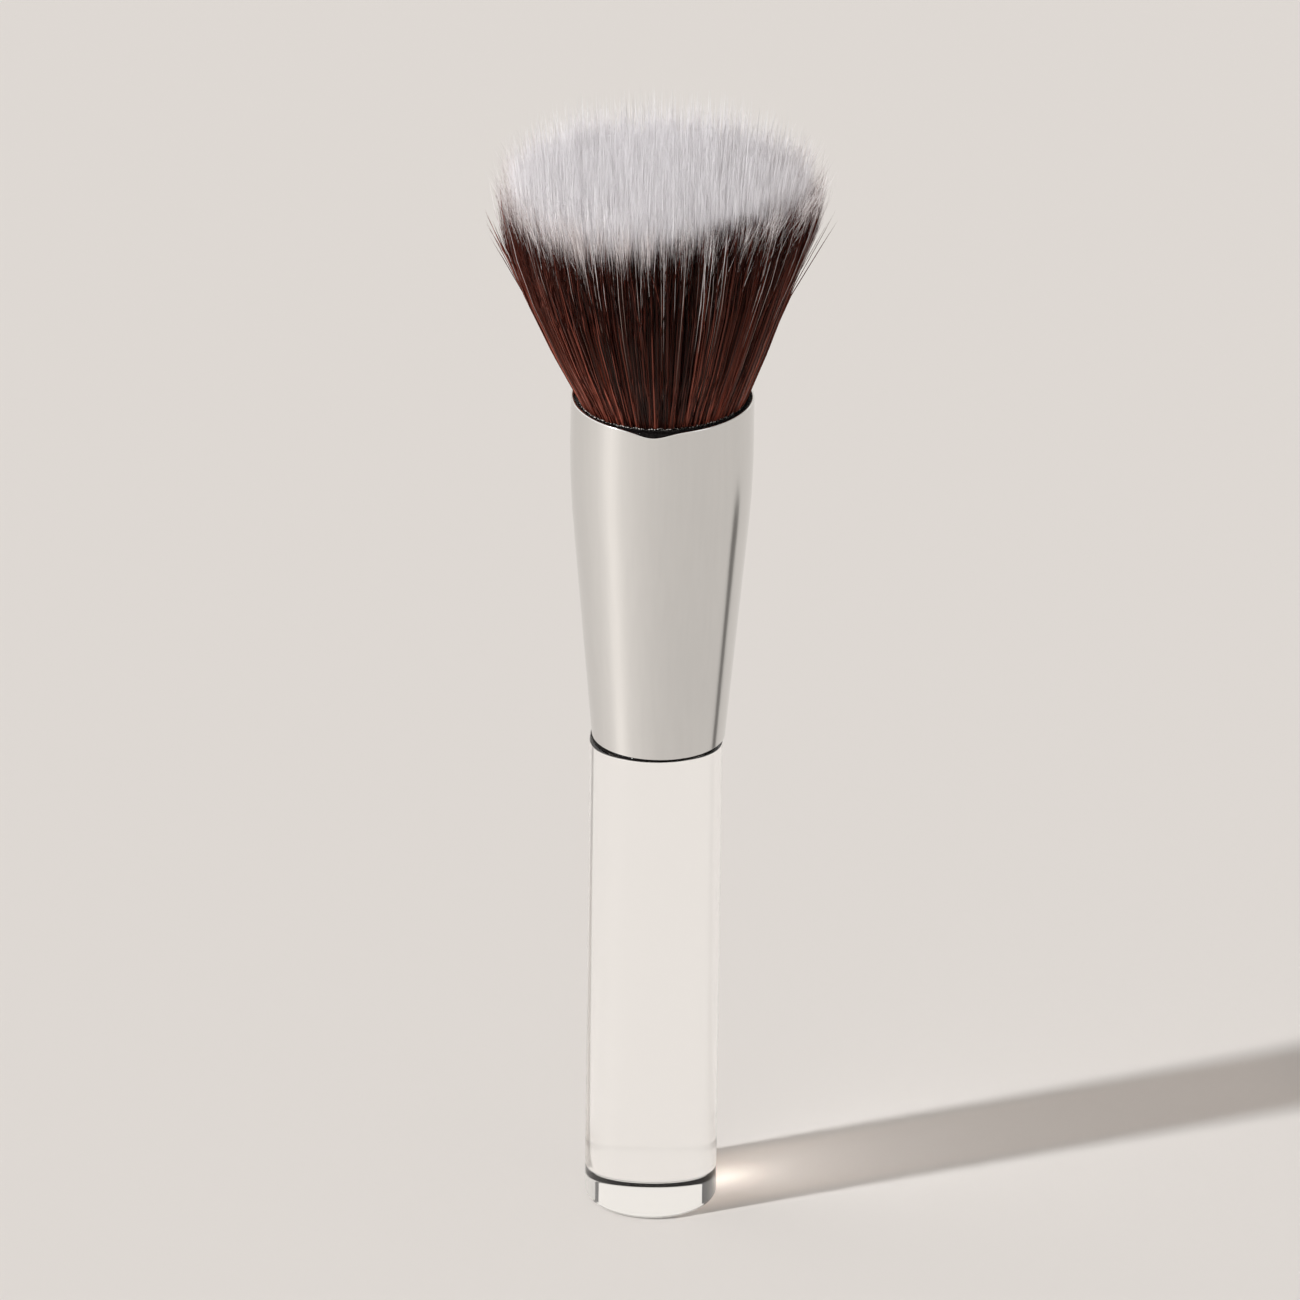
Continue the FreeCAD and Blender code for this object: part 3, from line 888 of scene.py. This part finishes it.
def make_painted_rod_light_group(shadow_place):
    """Painted light, as the floor's own glow, for the light that the clear rod lets through onto its shadow: a
    bright spot close behind it, then a glow.

    Both are bell curves of the places along and beside the shadow. They fade out at the shadow's edges.
    """
    group, given, out = new_group(
        "painted_rod_light",
        [("Far Light", "NodeSocketFloat", 0.17), ("Near Light", "NodeSocketFloat", 0.2),
         ("Spot Light", "NodeSocketFloat", 0.48)],
        [("Light", "NodeSocketFloat")],
    )
    nodes, links = group.nodes, group.links
    where = place(nodes, shadow_place)
    along_shadow, beside = where.outputs["Along"], where.outputs["Beside"]
    near = bell(nodes, links, along_shadow, 8.0, 22.0, given.outputs["Near Light"])
    spot = bell(nodes, links, along_shadow, 11.5, 5.5, given.outputs["Spot Light"])
    spot = bell(nodes, links, beside, 0.8, 3.4, spot)
    ends = fade(nodes, links, along_shadow, 95.0, 125.0)
    far = math_node(nodes, links, "MULTIPLY", given.outputs["Far Light"], ends)
    light = math_node(nodes, links, "ADD", math_node(nodes, links, "ADD", near, spot), far)
    inside = fade(nodes, links, math_node(nodes, links, "ABSOLUTE", beside), 6.0, 11.0)
    behind = math_node(nodes, links, "GREATER_THAN", along_shadow, 0.0)
    light = math_node(nodes, links, "MULTIPLY", light, inside)
    links.new(math_node(nodes, links, "MULTIPLY", light, behind), out.inputs["Light"])
    return group


def make_painted_floor_light_group(shadow_place):
    """Painted light and shadow on the floor round the brush, seen only in the metal.

    Two bell curves of the direction make a painted pool of light towards the lamp, and one makes a painted
    shadow of the brush, as far as the shadow reaches.
    """
    group, given, out = new_group(
        "painted_floor_light",
        [("Wide", "NodeSocketFloat", 0.26), ("Narrow", "NodeSocketFloat", 0.27),
         ("Shadow", "NodeSocketFloat", 0.38)],
        [("Factor", "NodeSocketFloat")],
    )
    nodes, links = group.nodes, group.links
    where = place(nodes, shadow_place)
    either_side = math_node(nodes, links, "ABSOLUTE", where.outputs["Angle"])
    from_lamp = math_node(nodes, links, "SUBTRACT", 180.0, either_side)
    reach = fade(nodes, links, where.outputs["Along"], 215.0, 262.0)
    dark = bell(nodes, links, where.outputs["Angle"], 0.0, 7.0, given.outputs["Shadow"])
    wide = bell(nodes, links, from_lamp, 0.0, 50.0, given.outputs["Wide"])
    narrow = bell(nodes, links, from_lamp, 0.0, 13.0, given.outputs["Narrow"])
    total = math_node(nodes, links, "ADD", math_node(nodes, links, "ADD", wide, 1.0), narrow)
    total = math_node(nodes, links, "SUBTRACT", total, math_node(nodes, links, "MULTIPLY", dark, reach))
    links.new(total, out.inputs["Factor"])
    return group


def make_stage():
    """A wide pale floor, a hair below the polished base, and the walls behind it.

    The floor is a little brighter where it is seen through the handle, and, as painted light and shadow,
    brighter towards the lamp and darker in the brush's shadow where it is seen in the metal. The light that
    the rod gathers in its shadow is painted as a faint glow of the floor.
    """
    size = 8.0
    low = -0.05 * mm
    corners = np.array([[-size, -size, low], [size, -size, low], [size, size, low], [-size, size, low]])
    floor = make_mesh("floor", corners, np.array([[0, 1, 2, 3]]))
    material, nodes, links, shader = new_material("pale_floor")
    path = nodes.new("ShaderNodeLightPath")
    plain = (0.76, 0.72, 0.685, 1)
    shadow_place = make_shadow_place_group()
    glow = place(nodes, make_painted_floor_light_group(shadow_place))
    painted_rod_light_mask = place(nodes, make_painted_rod_light_group(shadow_place))
    # Painted light and shadow: the floor seen in the metal is scaled by the painted pool of light and the
    # painted shadow.
    lit = scale_colour(nodes, links, plain[:3], glow.outputs["Factor"])
    colour = mix_colour(nodes, links, path.outputs["Is Glossy Ray"], plain, lit)
    colour = mix_colour(nodes, links, path.outputs["Is Transmission Ray"], colour, (0.855, 0.81, 0.77, 1))
    links.new(colour, shader.inputs["Base Color"])
    # Painted light: the floor glows in the handle's shadow, for the light that the rod gathers there.
    painted_caustic_colour = scale_colour(nodes, links, (1.0, 0.7596, 0.5962), painted_rod_light_mask.outputs["Light"])
    links.new(painted_caustic_colour, shader.inputs["Emission Color"])
    shader.inputs["Emission Strength"].default_value = 0.52
    shader.inputs["Roughness"].default_value = 0.9
    shader.inputs["Specular IOR Level"].default_value = 0.2
    floor.data.materials.append(material)
    make_wall("back_wall", -44, 44, 0.86)
    make_wall("side_wall", 50, 120, 0.62)
    make_wall("front_wall", 140, 220, 0.86)


def make_light():
    """One soft lamp from the left and a little in front, and an even pale sky."""
    sun = bpy.data.lights.new("key", "SUN")
    sun.energy = 2.9
    sun.angle = math.radians(3.0)
    lamp = bpy.data.objects.new("key", sun)
    azimuth = math.radians(lamp_azimuth)
    rise = math.radians(lamp_rise)
    towards = (-math.cos(rise) * math.cos(azimuth), -math.cos(rise) * math.sin(azimuth), math.sin(rise))
    lamp.rotation_euler = (math.acos(towards[2]), 0, math.atan2(towards[1], towards[0]) + math.pi / 2)
    bpy.context.scene.collection.objects.link(lamp)
    world = bpy.data.worlds.new("pale_sky")
    world.use_nodes = True
    nodes, links = world.node_tree.nodes, world.node_tree.links
    sky = nodes["Background"]
    sky.inputs["Color"].default_value = (1.0, 0.985, 0.97, 1)
    path = nodes.new("ShaderNodeLightPath")
    glossy = math_node(nodes, links, "MULTIPLY", path.outputs["Is Glossy Ray"], 0.8)
    through = math_node(nodes, links, "MULTIPLY", path.outputs["Is Transmission Ray"], 1.1)
    strength = math_node(nodes, links, "SUBTRACT", math_node(nodes, links, "ADD", glossy, 0.40), through)
    links.new(math_node(nodes, links, "MAXIMUM", strength, 0.1), sky.inputs["Strength"])
    bpy.context.scene.world = world


def make_camera():
    """A long lens, pitched down, rolled so that the brush leans a little to the right."""
    data = bpy.data.cameras.new("camera")
    data.sensor_width = 36.0
    data.lens = 36.0 * focal_pixels / picture_size
    data.clip_end = 50.0
    camera = bpy.data.objects.new("camera", data)
    scale = focal_pixels / math.hypot(camera_distance, camera_height)
    side = (picture_size / 2 - axis_pixel_x) / scale
    pitch = Matrix.Rotation(math.radians(90 - camera_pitch), 4, "X")
    roll = Matrix.Rotation(math.radians(camera_roll), 4, "Z")
    camera.matrix_world = Matrix.Translation((side, -camera_distance, camera_height)) @ (pitch @ roll)
    bpy.context.scene.collection.objects.link(camera)
    bpy.context.scene.camera = camera


make_camera()
make_stage()
make_light()
bpy.context.scene.view_settings.view_transform = "Standard"

acrylic = make_acrylic()
aluminium = make_aluminium()
epoxy = make_epoxy()
# Painted light: the brown filaments are paler and redder towards their roots, for the floor's bounce light on
# the low part of the bundle.
brown = make_filament(
    "brown_filament",
    root=(0.140, 0.038, 0.025, 1), middle=(0.086, 0.023, 0.015, 1), tip=(0.054, 0.0155, 0.011, 1),
    spread=2.6, shift=0.0, rough=0.36, gloss=0.15, shine=(1.0, 0.72, 0.62, 1),
    glow=(0.42, 0.08, 0.05, 1), glow_share=0.25,
)
# Painted shade: the white filaments turn grey and then brown towards their roots, where they lie deep among
# the brown ones.
white = make_filament(
    "white_filament",
    root=(0.11, 0.055, 0.04, 1), middle=(0.32, 0.22, 0.20, 1), tip=(0.99, 0.97, 0.985, 1),
    spread=0.25, shift=0.4, rough=0.7, gloss=0.35, shine=(1, 1, 1, 1),
    glow=(0.98, 0.955, 0.965, 1), glow_share=0.02,
)
# Painted shade: the pale streak filaments turn grey and then brown towards their roots, inside the brown wall.
pale = make_filament(
    "pale_filament",
    root=(0.12, 0.062, 0.046, 1), middle=(0.38, 0.27, 0.235, 1), tip=(0.98, 0.94, 0.945, 1),
    spread=0.3, shift=0.3, rough=0.7, gloss=0.2, shine=(1, 0.9, 0.85, 1),
    glow=(0.98, 0.955, 0.965, 1), glow_share=0.02,
)
make_handle(acrylic)
make_ferrule(aluminium)
make_handle_glue(epoxy)
make_root_glue(epoxy)
make_cores(brown, white)
make_dark_filaments(brown)
make_white_filaments(white)
make_streak_filaments(pale)
